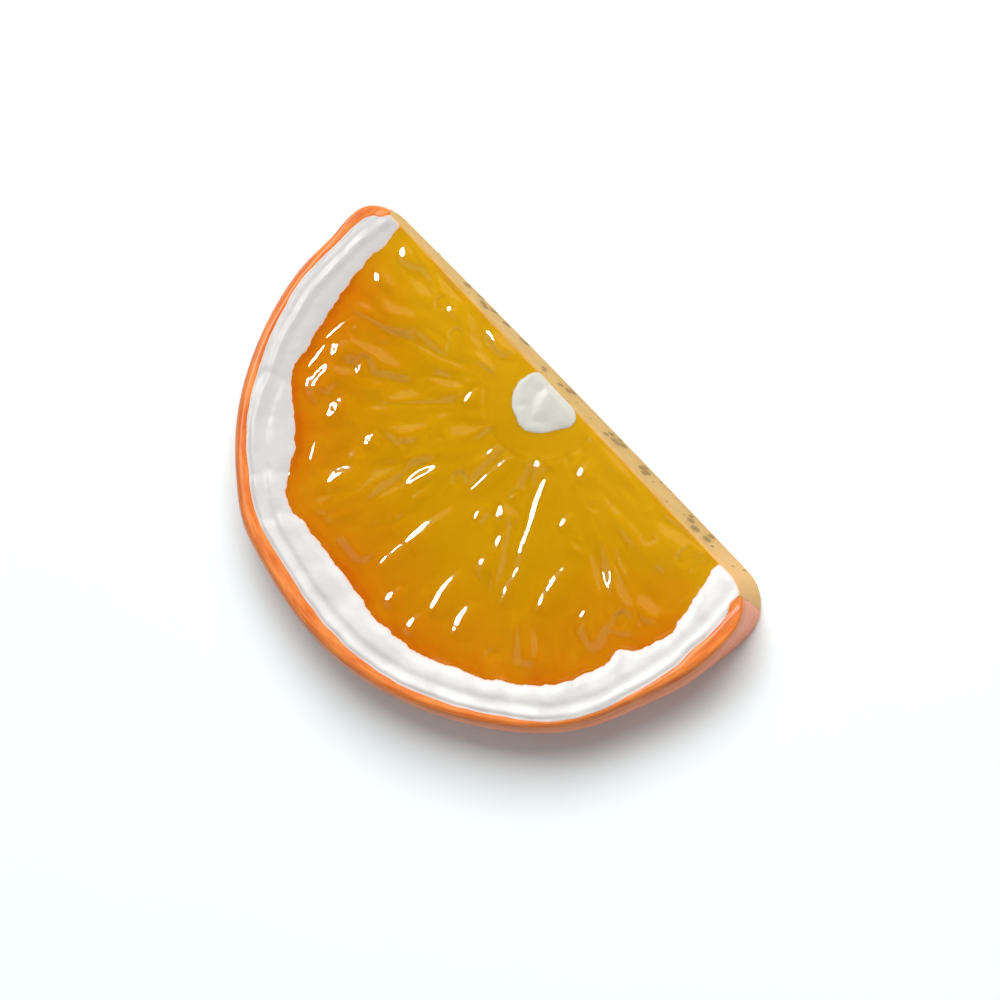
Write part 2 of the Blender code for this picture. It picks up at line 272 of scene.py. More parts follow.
def corner(radius):
    """Centre of a corner at the +X end, and the direction where the round edge runs into it."""
    y = CUT_OFFSET - radius
    x = math.sqrt((FACE_RADIUS - radius) ** 2 - y**2)
    return x, y, math.degrees(math.atan2(y, x))


def from_ends(angle):
    """Degrees of the round edge between each direction and the nearer corner."""
    left_end, right_end = (corner(radius)[2] for radius in CORNER_RADII)
    from_middle = (angle + 90 + 180) % 360 - 180
    return np.minimum(90 + right_end - from_middle, 90 + left_end + from_middle)


def edge_radius(angle):
    """The round edge's radius, which swells only away from its ends, so that it meets the corners."""
    return FACE_RADIUS + swell(angle, EDGE_SWELLS) * smooth_step(0, END_FADE, from_ends(angle))


def rind_gap(x, y):
    """How far each point lies inside the round edge."""
    return edge_radius(np.degrees(np.arctan2(y, x))) - np.hypot(x, y)


def edge_gap(x, y):
    """How far each point lies inside the outline."""
    gap = np.minimum(rind_gap(x, y), CUT_OFFSET - y)
    for side, radius in zip((-1, 1), CORNER_RADII):
        centre_x, centre_y, start = corner(radius)
        ahead, up = side * x - centre_x, y - centre_y
        turn = np.degrees(np.arctan2(up, ahead))
        gap = np.where((turn > start) & (turn < 90), radius - np.hypot(ahead, up), gap)
    return gap


def peel_end(x, y):
    """How far each point lies from the lines where the peel stops: positive on the peel's side."""
    farthest = 3 * MM
    ends = np.full_like(x, farthest)
    for side, stop, radius in zip((-1, 1), PEEL_ENDS, CORNER_RADII):
        centre_x, centre_y, _ = corner(radius)
        turn = math.radians(stop)
        ahead, up = side * x - centre_x, y - centre_y
        across = ahead * math.sin(turn) - up * math.cos(turn)
        ends = np.where((up > 0) & (side * x > 0), np.minimum(ends, across), ends)
    return ends


def outline():
    """Points, outward normals and rind shares (1 on the round edge, 0 on the cut) round the slab."""
    left_x, left_y, left_end = corner(CORNER_RADII[0])
    right_x, right_y, right_end = corner(CORNER_RADII[1])
    arc = np.linspace(-180 - left_end, right_end, ARC_STEPS, endpoint=False)
    right = np.linspace(right_end, 90, CORNER_STEPS, endpoint=False)
    left = np.linspace(90, 180 - left_end, CORNER_STEPS, endpoint=False)
    cut = np.linspace(right_x, -left_x, CUT_STEPS, endpoint=False)

    def around(centre_x, centre_y, radius, angle):
        turn = np.radians(angle)
        return np.column_stack([centre_x + radius * np.cos(turn), centre_y + radius * np.sin(turn)])

    points = np.concatenate([
        around(0, 0, edge_radius(arc), arc),
        around(right_x, right_y, CORNER_RADII[1], right),
        np.column_stack([cut, np.full_like(cut, CUT_OFFSET)]),
        around(-left_x, left_y, CORNER_RADII[0], left),
    ])
    facing = np.radians(np.concatenate([arc, right, np.full_like(cut, 90), left]))
    shares = np.zeros(len(points))
    shares[: len(arc)] = smooth_step(0, RIND_FADE, from_ends(arc))
    return points, np.column_stack([np.cos(facing), np.sin(facing)]), shares


def bearings(x, y):
    """Radius from the round edge's centre, direction, place along that edge, inset from it and borders.

    The borders are the peel's width at that direction and the radius where the pith meets the pulp.
    """
    radius = np.hypot(x, y)
    angle = np.degrees(np.arctan2(y, x))
    arc = np.radians((angle + 270) % 360 - 180) * FACE_RADIUS
    peel = PEEL_WIDTH + swell(angle, PEEL_SWELLS) + wave(arc, PEEL_WAVE, 21)
    pulp = PULP_RADIUS + swell(angle, PULP_SWELLS)
    pulp += wave(arc, PULP_WAVES[0], 22) + wave(arc, PULP_WAVES[1], 23)
    return radius, angle, arc, edge_radius(angle) - radius, peel, pulp


def core_bearings(x, y):
    """Distance from the core's centre, direction and how far inside the core's border."""
    distance = np.hypot(x - CORE[0], y - CORE[1])
    angle = np.degrees(np.arctan2(y - CORE[1], x - CORE[0]))
    border = CORE_RADIUS + swell(angle, CORE_SWELLS)
    border += wave(np.radians(angle) * CORE_RADIUS, CORE_WAVE, 24)
    return distance, angle, border - distance


def make_sacs():
    """Juice sacs: centre, pointing direction, half length and width, height, lift and lean."""
    draw = random.Random(SAC_SEED)
    borders = sorted((*SAC_ENDS, *MEMBRANES))
    sacs = []
    for start, end in zip(borders, borders[1:]):
        distance = CORE_RING + draw.uniform(*SAC_START)
        while distance < FACE_RADIUS + CUT_OFFSET:
            width = math.radians(end - start) * distance
            count = max(1, round(width / SAC_PITCH))
            for place in range(count):
                share = (place + 0.5 + draw.uniform(-1, 1) * SAC_STRAY[1]) / count
                angle = start + (end - start) * share
                away = distance + draw.uniform(-1, 1) * SAC_STRAY[0] * SAC_ROW
                pointing = math.radians(angle + draw.uniform(-SAC_TURN, SAC_TURN))
                sacs.append((
                    CORE[0] + away * math.cos(math.radians(angle)),
                    CORE[1] + away * math.sin(math.radians(angle)),
                    math.cos(pointing), math.sin(pointing),
                    draw.uniform(*SAC_LENGTH), draw.uniform(*SAC_WIDTH), draw.uniform(*SAC_HEIGHT),
                    draw.uniform(-1, 1) * SAC_LIFT, draw.uniform(-1, 1) * SAC_LEAN,
                ))
            distance += SAC_ROW
    return sacs


def sac_relief(x, y):
    """The skyline of all the sacs, a little rounded where two meet."""
    total = np.full_like(x, math.exp(SAC_FLOOR / SAC_BLEND))
    for centre_x, centre_y, along_x, along_y, length, width, height, lift, lean in make_sacs():
        near = np.hypot(x - centre_x, y - centre_y) < SAC_REACH * length
        ahead, up = x[near] - centre_x, y[near] - centre_y
        along = (ahead * along_x + up * along_y) / length
        across = (up * along_x - ahead * along_y) / width - lean
        bow = np.maximum(1 - along**2 - across**2, SAC_DROP)
        total[near] += np.exp((lift + height * bow) / SAC_BLEND)
    return SAC_BLEND * np.log(total)


def spoke_swells(angle, distance, swells, seed):
    """Soft swells that run out from the core, for an array of directions and distances."""
    height = 0
    for number, (cells, length, amount) in enumerate(swells):
        beside = BEND_RADIUS * np.radians(angle)
        bend = wave(distance, (SWELL_BEND, BEND_LENGTH), seed + 10 + number, beside)
        cell = angle / 360 * cells + bend
        height = height + amount / 2 * soft_noise(distance / length, cell, 1, seed + number)
    return height


def tent(gap):
    """A crest's section: 1 on its line, even flanks, a rounded top and a soft foot at a gap of 1."""
    top, foot, lowest = 0.15, 0.01, -2
    drop = (np.sqrt(gap**2 + top**2) - top) / (math.sqrt(1 + top**2) - top)
    level = np.maximum(1 - drop, lowest)
    return (level + np.sqrt(level**2 + foot)) / 2 * (level > lowest)


def make_sparks():
    """Short crests at random places of the pulp."""
    draw = random.Random(SAC_SEED + 1)
    sparks = []
    for _ in range(SPARK_COUNT):
        angle, away = math.radians(draw.uniform(*SPARK_ANGLES)), draw.uniform(*SPARK_AWAY)
        run = math.radians(CREST_FACING + 90 + draw.uniform(-SPARK_TURN, SPARK_TURN))
        length = draw.uniform(*SPARK_LENGTH)
        start = np.array(CORE) + away * np.array([math.cos(angle), math.sin(angle)])
        end = start + length * np.array([math.cos(run), math.sin(run)])
        sparks.append((start, end, draw.uniform(*SPARK_WIDTH)))
    return sparks


def crest_bearings(x, y, start, end, half_width):
    """How far each point lies from a crest, in half widths, and the half width beside it."""
    run = end - start
    length = math.hypot(*run)
    facing = math.radians(CREST_FACING)
    along = ((x - start[0]) * run[0] + (y - start[1]) * run[1]) / length
    across = ((x - start[0]) * run[1] - (y - start[1]) * run[0]) / length
    across = across * np.sign(run[1] * math.cos(facing) - run[0] * math.sin(facing))
    across = np.where(across > 0, across, across / CREST_BACK)
    beyond = np.maximum(np.maximum(-along, along - length), 0)
    width = half_width * (1 - CREST_TAPER * (2 * np.clip(along / length, 0, 1) - 1) ** 2)
    return np.hypot(across, beyond / CREST_TIP) / width, width


def crest_relief(x, y):
    """How high the tallest crest stands, and how far it covers the ground: 1 on it, 0 clear of it."""
    crests = [
        (np.array(start) * MM, np.array(end) * MM, half_width * MM) for start, end, half_width in CRESTS
    ]
    relief, cover = np.zeros_like(x), np.zeros_like(x)
    for crest in crests + make_sparks():
        gap, width = crest_bearings(x, y, *crest)
        relief = np.maximum(relief, CREST_SLOPE * width * tent(gap))
        cover = np.maximum(cover, smooth_step(*CREST_SHADE, gap))
    return relief, cover


def pith_relief(radius, angle, arc, inset, peel, from_pith):
    """The pith's rounded ridge by the peel, the gutter inside it and its bulging inner band."""
    side = smooth_step(*(math.radians(turn) * FACE_RADIUS for turn in PITH_CHANGE), arc)

    def by_side(pair):
        return np.interp(side, (0, 1), pair)

    ridge = peel + by_side(RIDGE_PLACE) + wave(arc, PITH_DRIFT, 32)
    strength = by_side(RIDGE_HEIGHT) * (1 + wave(arc, RIDGE_WAVE, 33))
    height = strength * tent((inset - ridge) / by_side(RIDGE_WIDTH))
    gutter = ridge + by_side(GUTTER_STEP)
    height -= GUTTER_DEPTH * side * np.exp(-(((inset - gutter) / GUTTER_WIDTH) ** 2))
    by_pulp, by_gutter = BAND_EDGES
    rise = by_side(PITH_RISE) * smooth_step(0, by_pulp, -from_pith)
    height += rise * smooth_step(ridge, gutter + by_gutter, inset)
    for number, (direction, width) in enumerate(PITH_FOLDS):
        away = np.radians((angle - direction + 180) % 360 - 180) * radius
        away += wave(inset, FOLD_WANDER, 40 + number)
        height -= FOLD_DEPTH * np.exp(-((away / width) ** 2))
    brush, length = BRUSH_WAVES
    height += by_side(brush) * soft_noise(arc, inset, length, 31)
    return height + wave(arc, BRUSH_GRAIN, 34, inset)


def membrane_lines(x, y):
    """1 on the membranes, which run out from the core, and 0 clear of them."""
    lines = np.zeros_like(x)
    for direction in MEMBRANES:
        turn = math.radians(direction)
        sideways = (y - CORE[1]) * math.cos(turn) - (x - CORE[0]) * math.sin(turn)
        ahead = (x - CORE[0]) * math.cos(turn) + (y - CORE[1]) * math.sin(turn) > 0
        lines = np.maximum(lines, ahead * np.exp(-((sideways / MEMBRANE_WIDTH) ** 2)))
    return lines


def channel_depth(arc, from_pith):
    """How far the pulp sinks where it meets the pith."""
    width = CHANNEL_WIDTH * (1 + wave(arc, WIDTH_WAVE, 25))
    climb = np.clip((from_pith - width) / CHANNEL_SLOPE, 0, 1)
    deep = along_edge(arc, CHANNEL_DEPTH) * (1 + wave(arc, DEPTH_WAVE, 26, from_pith))
    return deep * (1 - climb) ** 2 * smooth_step(0, CHANNEL_WALL, from_pith)


def pulp_relief(x, y, arc, distance, core_angle, from_pith):
    """Sacs, membranes and crests, the ring round the core and the channel by the pith."""
    far = smooth_step(*SWELL_CHANGE, distance)
    turn = (core_angle + 270) % 360
    height = spoke_swells(turn, distance, NEAR_SWELLS, 50) * (1 - far)
    height += spoke_swells(turn, distance, FAR_SWELLS, 60) * far
    height += sac_relief(x, y) - MEMBRANE_DEPTH * membrane_lines(x, y)
    height *= smooth_step(*SACS_BY_CORE, distance) * smooth_step(*SACS_BY_PITH, from_pith)
    crests, cover = crest_relief(x, y)
    height = (height + wave(x, PULP_GRAIN, 29, y)) * (1 - CREST_FADE * cover)
    height -= RING_DEPTH * np.exp(-(((distance - CORE_RING) / RING_WIDTH) ** 2)) * (from_pith > 0)
    height -= channel_depth(arc, from_pith)
    return height + crests * smooth_step(0, CREST_EDGE, from_pith)


def face_relief(x, y):
    """Height of the moulded face over its mean level."""
    radius, angle, arc, inset, peel, pulp_radius = bearings(x, y)
    distance, core_angle, in_core = core_bearings(x, y)
    from_pith = pulp_radius - radius

    height = -along_edge(arc, GROOVE_DEPTH) * np.exp(-(((inset - peel) / GROOVE_WIDTH) ** 2))
    on_pith = smooth_step(*PITH_BY_PULP, from_pith) * smooth_step(*PITH_BY_PEEL, inset - peel)
    height += on_pith * pith_relief(radius, angle, arc, inset, peel, from_pith)
    on_pulp = smooth_step(*PULP_BY_PITH, from_pith)
    height += on_pulp * pulp_relief(x, y, arc, distance, core_angle, from_pith)

    height += CORE_HEIGHT * smooth_step(-CORE_EDGE, CORE_EDGE, in_core)
    folds = soft_noise(x - FOLD_LEAN * y, y / FOLD_STRETCH, FOLD_LENGTH, 27)
    height += CORE_FOLDS * smooth_step(0, FOLDS_EDGE, in_core) * np.abs(folds)
    nearer, length = PEEL_EDGE
    room = edge_gap(x, y) + nearer * smooth_step(0, length, peel_end(x, y))
    height *= smooth_step(0, CALM_EDGE, room)
    over = np.clip((height - RELIEF_LIMIT) / LIMIT_BLEND, -30, 30)
    return height - LIMIT_BLEND * np.log1p(np.exp(over))


def under_relief(x, y):
    """How far the underside's grooves rise over its flat lumps."""
    return np.clip(UNDER_LEVEL - face_relief(-x * UNDER_SHRINK, y), 0, UNDER_LIMIT)


def wall_rings(points, normals, shares):
    """Rings from the underside, round the foot, up the wall and over the shoulder."""
    foot = CUT_FOOT + (RIND_FOOT - CUT_FOOT) * shares
    shoulder = CUT_SHOULDER + (RIND_SHOULDER - CUT_SHOULDER) * shares
    cut_lean = CUT_LEAN * ((1 - points[:, 0] / FACE_RADIUS) / 2) ** 2
    lean = RIND_LEAN * shares + cut_lean * (1 - shares)
    rings = []

    def add(inset, height):
        rings.append(np.column_stack([points - normals * (inset + WALL_ROOM)[:, None], height]))

    for turn in np.linspace(0, math.pi / 2, FOOT_STEPS + 1):
        height = np.maximum(foot * (1 - math.cos(turn)), UNDER_ROOM)
        add(lean + foot * (1 - math.sin(turn)), height)
    for depth in np.linspace(1, 0, WALL_STEPS + 2)[1:-1]:
        height = FACE_LEVEL - shoulder - depth * (FACE_LEVEL - shoulder - foot)
        bulge = RIND_BULGE * shares * BULGE_TOP * depth * (1 - depth) ** 2
        add(lean * depth**2 - bulge, height)
    for turn in np.linspace(0, math.pi / 2, SHOULDER_STEPS + 1):
        height = FACE_LEVEL - shoulder * (1 - math.sin(turn))
        add(shoulder * (1 - math.cos(turn)), height)
        ring = rings[-1]
        ring[:, 2] += face_relief(ring[:, 0], ring[:, 1]) * (1 - math.cos(turn)) ** 2
    return rings


def even_points(ring, spacing):
    """A triangular grid of points inside the ring, clear of it."""
    low, high = ring.min(axis=0), ring.max(axis=0)
    found = []
    for number, y in enumerate(np.arange(low[1], high[1], spacing * math.sqrt(3) / 2)):
        x = np.arange(low[0] + spacing / 2 * (number % 2), high[0], spacing)
        row = np.column_stack([x, np.full_like(x, y)])
        row = row[(rind_gap(x, y) > CUT_SHOULDER) & (y < CUT_OFFSET - CUT_SHOULDER)]
        if len(row):
            near = ring[np.abs(ring[:, 1] - y) < 2 * spacing]
            if len(near):
                gaps = np.linalg.norm(row[:, None, :] - near[None, :, :], axis=2).min(axis=1)
                row = row[gaps > BORDER_ROOM * spacing]
            found.append(row)
    return np.concatenate(found)


def fill(ring, spacing):
    """Even triangles inside a ring: the new points and triangles, where the ring comes first."""
    plan = np.concatenate([ring, even_points(ring, spacing)])
    border = [(i, (i + 1) % len(ring)) for i in range(len(ring))]
    inside_border, merge = 1, 1e-7
    points, _, faces, sources, _, _ = delaunay_2d_cdt(
        [Vector(point) for point in plan], border, [], inside_border, merge
    )
    order = np.zeros(len(points), int)
    fresh = []
    for index, source in enumerate(sources):
        on_ring = [i for i in source if i < len(ring)]
        if on_ring:
            order[index] = on_ring[0]
        else:
            order[index] = len(ring) + len(fresh)
            fresh.append(points[index])
    return np.array(fresh), order[np.array(faces)]


def build_body():
    """Points and triangles of the resin body, closed and facing out."""
    points, normals, shares = outline()
    rings = wall_rings(points, normals, shares)
    count = len(points)
    around = np.arange(count)
    after = (around + 1) % count
    faces = []
    for level in range(len(rings) - 1):
        low, high = level * count, (level + 1) * count
        faces.append(np.column_stack([low + around, low + after, high + after]))
        faces.append(np.column_stack([low + around, high + after, high + around]))
    places = list(rings)

    top, top_faces = fill(rings[-1][:, :2], FACE_SPACING)
    start = len(rings) * count
    places.append(np.column_stack([top, FACE_LEVEL + face_relief(top[:, 0], top[:, 1])]))
    faces.append(np.where(top_faces < count, top_faces + start - count, top_faces - count + start))

    under, under_faces = fill(rings[0][:, :2], UNDER_SPACING)
    start += len(top)
    x, y = under.T
    from_foot = np.minimum(rind_gap(x, y) - RIND_FOOT, CUT_OFFSET - CUT_FOOT - y)
    rise = UNDER_ROOM + smooth_step(*UNDER_EDGE, from_foot) * under_relief(x, y)
    places.append(np.column_stack([under, rise]))
    faces.append(np.where(under_faces < count, under_faces, under_faces - count + start)[:, ::-1])
    return np.concatenate(places), np.concatenate(faces)


def point_normals(points, faces):
    """Unit normals at the points, weighted by the faces' areas."""
    a, b, c = (points[faces[:, i]] for i in range(3))
    across = np.cross(b - a, c - a)
    total = np.column_stack([
        sum(np.bincount(faces[:, i], part, len(points)) for i in range(3)) for part in across.T
    ])
    return total / np.maximum(np.linalg.norm(total, axis=1), 1e-15)[:, None]


def clip(values, faces, field):
    """The part of a mesh where the field is positive, cut along its zero line.

    values holds one row of numbers a point, which are blended along the edges that are cut.
    """
    inside = field > 0
    count = inside[faces].sum(axis=1)
    kept = [faces[count == 3]]
    rows = [values]
    size = len(values)
    for wanted in (1, 2):
        cut = faces[count == wanted]
        lone = inside[cut] if wanted == 1 else ~inside[cut]
        first = lone.argmax(axis=1)
        line = np.arange(len(cut))
        a, b, c = (cut[line, (first + i) % 3] for i in range(3))
        share_b, share_c = field[a] / (field[a] - field[b]), field[a] / (field[a] - field[c])
        rows.append(values[a] + (values[b] - values[a]) * share_b[:, None])
        rows.append(values[a] + (values[c] - values[a]) * share_c[:, None])
        ab, ac = size + line, size + len(cut) + line
        size += 2 * len(cut)
        if wanted == 1:
            kept.append(np.column_stack([a, ab, ac]))
        else:
            kept.append(np.column_stack([ab, b, c]))
            kept.append(np.column_stack([ab, c, ac]))
    values, faces = np.concatenate(rows), np.concatenate(kept)
    used, faces = np.unique(faces, return_inverse=True)
    values, faces = values[used], faces.reshape(-1, 3)
    _, first, same = np.unique(
        np.round(values[:, :3] / WELD).astype(int), axis=0, return_index=True, return_inverse=True
    )
    faces = same.reshape(-1)[faces]
    whole = (faces[:, 0] != faces[:, 1]) & (faces[:, 1] != faces[:, 2]) & (faces[:, 0] != faces[:, 2])
    return values[first], faces[whole]


def soft_min(*fields):
    """The least of several fields, rounded where two are alike."""
    soft = 0.7 * MM
    least = fields[0]
    for other in fields[1:]:
        blend = np.clip(0.5 + (other - least) / (2 * soft), 0, 1)
        least = other * (1 - blend) + least * blend - soft * blend * (1 - blend)
    return least


def coat_fields(points, on_wall):
    """How far each point lies inside the pith's, the core's and the peel's coats."""
    x, y, z = points.T
    radius, _, _, _, peel, pulp_radius = bearings(x, y)
    _, _, in_core = core_bearings(x, y)
    gap, ends = edge_gap(x, y), peel_end(x, y)
    peel = peel * smooth_step(*PEEL_TAPER, ends)
    pith = soft_min(radius - pulp_radius, gap - peel + PEEL_OVERLAP, gap - PITH_END)
    outside, inside = -1 * MM, 2 * MM
    pith = np.where(on_wall, outside, pith)
    core = np.where(on_wall, outside, in_core)
    ends += -PEEL_RETREAT * (FACE_LEVEL - z) + wave(z, PEEL_RAG, 28)
    band = np.where(on_wall, inside, peel - gap)
    return pith, core, np.minimum(band, ends)


def make_mesh(name, points, faces, attributes):
    """A smooth object that holds the named values at its points."""
    mesh = bpy.data.meshes.new(name)
    mesh.from_pydata(points.tolist(), [], faces.tolist())
    for key, values in attributes.items():
        kind, field = ("FLOAT", "value") if values.ndim == 1 else ("FLOAT_VECTOR", "vector")
        layer = mesh.attributes.new(key, kind, "POINT")
        layer.data.foreach_set(field, values.astype(np.float32).ravel())
    mesh.update()
    mesh.shade_smooth()
    piece = bpy.data.objects.new(name, mesh)
    bpy.context.scene.collection.objects.link(piece)
    return piece


def colour(red, green, blue):
    """A linear colour from display values of 0 to 255."""
    def linear(value):
        share = value / 255
        return share / 12.92 if share <= 0.04045 else ((share + 0.055) / 1.055) ** 2.4
    return (linear(red), linear(green), linear(blue), 1.0)


class Nodes:
    """Short calls that add shader nodes to a material or a world and link them."""

    def __init__(self, owner, shader="Principled BSDF"):
        owner.use_nodes = True
        self.owner, self.tree = owner, owner.node_tree
        self.shader = self.tree.nodes[shader]

    def add(self, kind, inputs=None, **settings):
        node = self.tree.nodes.new(kind)
        for key, value in settings.items():
            setattr(node, key, value)
        for key, value in (inputs or {}).items():
            self.set(node.inputs[key], value)
        return node

    def set(self, socket, value):
        if isinstance(value, bpy.types.NodeSocket):
            self.tree.links.new(value, socket)
        else:
            socket.default_value = value

    def attribute(self, name, vector=False):
        node = self.add("ShaderNodeAttribute", attribute_name=name)
        return node.outputs["Vector" if vector else "Fac"]

    def position(self):
        return self.add("ShaderNodeNewGeometry").outputs["Position"]

    def component(self, vector, axis):
        return self.add("ShaderNodeSeparateXYZ", {"Vector": vector}).outputs[axis]

    def math(self, operation, *values):
        return self.add("ShaderNodeMath", dict(enumerate(values)), operation=operation).outputs[0]

    def times(self, value, factor):
        return self.math("MULTIPLY", value, factor)

    def swing(self, noise, width):
        """Noise of 0 to 1 as a value that swings about 0 over the given width."""
        return self.times(self.math("SUBTRACT", noise, 0.5), width)

    def step(self, low, high, value, first=0.0, last=1.0):
        """A value that goes softly from first to last as the given one goes from low to high."""
        inputs = {"Value": value, "From Min": low, "From Max": high, "To Min": first, "To Max": last}
        node = self.add("ShaderNodeMapRange", inputs, interpolation_type="SMOOTHSTEP")
        return node.outputs["Result"]

    def mix(self, factor, first, second):
        """A blend of two colours, whose sockets are the node's seventh and eighth."""
        inputs = {"Factor": factor, 6: first, 7: second}
        return self.add("ShaderNodeMix", inputs, data_type="RGBA").outputs[2]

    def noise(self, vector, scale, detail=3.0, roughness=0.5):
        inputs = {"Vector": vector, "Scale": scale, "Detail": detail, "Roughness": roughness}
        return self.add("ShaderNodeTexNoise", inputs).outputs["Fac"]

    def stretch(self, vector, scale):
        return self.add("ShaderNodeMapping", {"Vector": vector, "Scale": scale}).outputs["Vector"]

    def ramp(self, factor, stops):
        node = self.add("ShaderNodeValToRGB", {"Fac": factor})
        elements = node.color_ramp.elements
        while len(elements) < len(stops):
            elements.new(0.5)
        for element, (place, shade) in zip(elements, stops):
            element.position = place
            element.color = shade
        return node.outputs["Color"]

    def bump(self, height, distance):
        inputs = {"Strength": 1.0, "Distance": distance, "Height": height}
        return self.add("ShaderNodeBump", inputs).outputs["Normal"]

    def shade(self, inputs):
        """Give the material's own shader the named values."""
        for key, value in inputs.items():
            self.set(self.shader.inputs[key], value)


def resin_material():
    """Clear amber resin: deeper orange by the pith, partly painted shade, and paler near the cut as
    painted light that enters there; yellower by the core, and matt peach at the cut, painted lighter at
    its +X end.
    """
    nodes = Nodes(bpy.data.materials.new("resin"))
    from_pith = nodes.attribute("from_pith")
    from_core = nodes.attribute("from_core")
    grain = nodes.attribute("grain", vector=True)
    cut_side = nodes.attribute("cut_side")

    streaks = nodes.noise(nodes.stretch(grain, (0.12, 0.6, 1.0)), 1.0)
    blotches = nodes.noise(nodes.stretch(grain, (0.06, 0.16, 1.0)), 1.0, detail=2.0)
    # painted shade: the amber runs deeper orange towards the pith, partly the peel's orange showing
    # through the resin and partly shade where less light gets in
    reach = nodes.math("ADD", from_pith, nodes.swing(streaks, 3.0))
    # painted light: paler and yellower near the cut, where light enters the resin through it
    from_cut = nodes.attribute("from_cut")
    painted_cut_light = nodes.step(13.0, 0.0, from_cut)
    reach = nodes.math("ADD", reach, nodes.times(painted_cut_light, 7.0))
    amber = nodes.ramp(nodes.math("DIVIDE", reach, 20.0), (
        (0.0, colour(200, 102, 3)), (0.06, colour(206, 119, 5)), (0.15, colour(205, 128, 6)),
        (0.32, colour(200, 132, 4)), (0.6, colour(198, 140, 3)), (1.0, colour(200, 148, 4)),
    ))
    yellow = nodes.step(20.0, 4.0, from_core)
    amber = nodes.mix(nodes.times(yellow, 0.7), amber, colour(194, 146, 4))
    tone = nodes.step(0.35, 0.65, blotches)
    amber = nodes.mix(nodes.times(tone, 0.3), amber, colour(208, 152, 8))
    amber = nodes.mix(nodes.times(painted_cut_light, 0.75), amber, colour(211, 160, 14))

    position = nodes.position()
    cloud = nodes.noise(position, 380.0, detail=4.0)
    peach = nodes.mix(cloud, colour(182, 136, 66), colour(205, 165, 94))
    low = nodes.step(6.0, 11.0, nodes.attribute("depth"))
    peach = nodes.mix(nodes.times(low, 0.4), peach, colour(182, 136, 72))
    # painted light: the cut's peach is painted lighter towards its +X end, where the cut turns away
    # from the key light
    end = nodes.step(0.024, 0.037, nodes.component(position, "X"))
    peach = nodes.mix(nodes.times(end, 0.8), peach, colour(226, 170, 104))
    reach = nodes.math("ADD", from_cut, nodes.swing(cloud, 1.2))
    cut = nodes.math("MAXIMUM", nodes.step(0.45, 0.55, cut_side), nodes.step(0.3, 0.15, reach))
    nodes.shade({
        "Base Color": nodes.mix(cut, amber, peach),
        "Roughness": nodes.step(0.0, 1.0, cut, 0.025, 0.8),
        "IOR": 1.5,
        "Specular IOR Level": 0.8,
        "Subsurface Weight": 0.8,
        "Subsurface Radius": (1.0, 0.7, 0.35),
        "Subsurface Scale": 1.2 * MM,
    })

    grit = nodes.noise(position, 1800.0, detail=2.0)
    ripple = nodes.noise(nodes.stretch(grain, (0.25, 1.1, 1.0)), 1.0, detail=2.0)
    nodes.shade({"Normal": nodes.bump(nodes.mix(cut, ripple, grit), 0.014 * MM)})
    return nodes.owner


def pith_material():
    """Satin white paint of uneven gloss and surface, with painted shade: darker towards -X, in random
    grey patches and on the core; and a warm line where it meets the resin.
    """
    nodes = Nodes(bpy.data.materials.new("pith_paint"))
    position = nodes.position()
    edge = nodes.attribute("coat_edge")
    patches = nodes.noise(position, 180.0)
    # painted light and shade: the pith's paint is darker towards -X and lighter towards +X, for how the
    # light falls on it
    side = nodes.step(-60.0, 20.0, nodes.component(nodes.attribute("lay", vector=True), "X"))
    white = nodes.mix(side, colour(190, 187, 185), colour(227, 224, 221))
    # painted shade: random grey patches stand in for the shading of the pith's facets
    facet_shade = nodes.step(0.6, 0.35, patches)
    white = nodes.mix(nodes.times(facet_shade, 0.4), white, colour(192, 187, 185))
    # painted shade: the core's coat is painted greyer than the pith, as if in shade
    core = nodes.attribute("core")
    white = nodes.mix(core, white, colour(196, 193, 182))
    line = nodes.times(nodes.step(0.45, 0.05, edge), nodes.step(1.0, 0.0, core, 0.1, 0.75))
    nodes.shade({
        "Base Color": nodes.mix(line, white, colour(232, 178, 150)),
        "Roughness": nodes.step(0.3, 0.7, patches, 0.3, 0.42),
        "Specular IOR Level": 0.25,
        "Normal": nodes.bump(nodes.noise(position, 900.0), 0.03 * MM),
    })
    return nodes.owner


def peel_material():
    """Glossy orange paint on the rim, which turns pink with streaks down the rind, with painted shade
    along its inner border.
    """
    nodes = Nodes(bpy.data.materials.new("peel_paint"))
    lay = nodes.attribute("lay", vector=True)
    depth = nodes.attribute("depth")
    edge = nodes.attribute("coat_edge")
    streaks = nodes.noise(nodes.stretch(lay, (0.13, 0.8, 1.0)), 1.0, detail=4.0, roughness=0.6)
    smears = nodes.noise(nodes.stretch(lay, (0.08, 1.6, 1.0)), 1.0, detail=4.0, roughness=0.65)
    rim = nodes.mix(nodes.step(0.3, 0.7, streaks), colour(208, 98, 32), colour(238, 142, 64))
    wall = nodes.mix(smears, colour(238, 100, 60), colour(255, 178, 132))
    fall = nodes.math("ADD", depth, nodes.swing(streaks, 2.2))
    shade = nodes.mix(nodes.step(1.1, 3.0, fall), rim, wall)
    dark = nodes.times(nodes.step(0.55, 0.72, smears), nodes.step(-0.4, 1.4, fall))
    shade = nodes.mix(nodes.times(dark, 0.8), shade, colour(176, 54, 18))
    # painted shade: the peel is painted darker along its inner border, in the groove by the pith
    border = nodes.step(0.4, 0.05, edge)
    shade = nodes.mix(nodes.times(border, 0.8), shade, colour(178, 78, 34))
    nodes.shade({
        "Base Color": shade,
        "Roughness": nodes.step(0.3, 0.7, streaks, 0.3, 0.42),
        "Specular IOR Level": 0.3,
        "Normal": nodes.bump(streaks, 0.05 * MM),
    })
    return nodes.owner


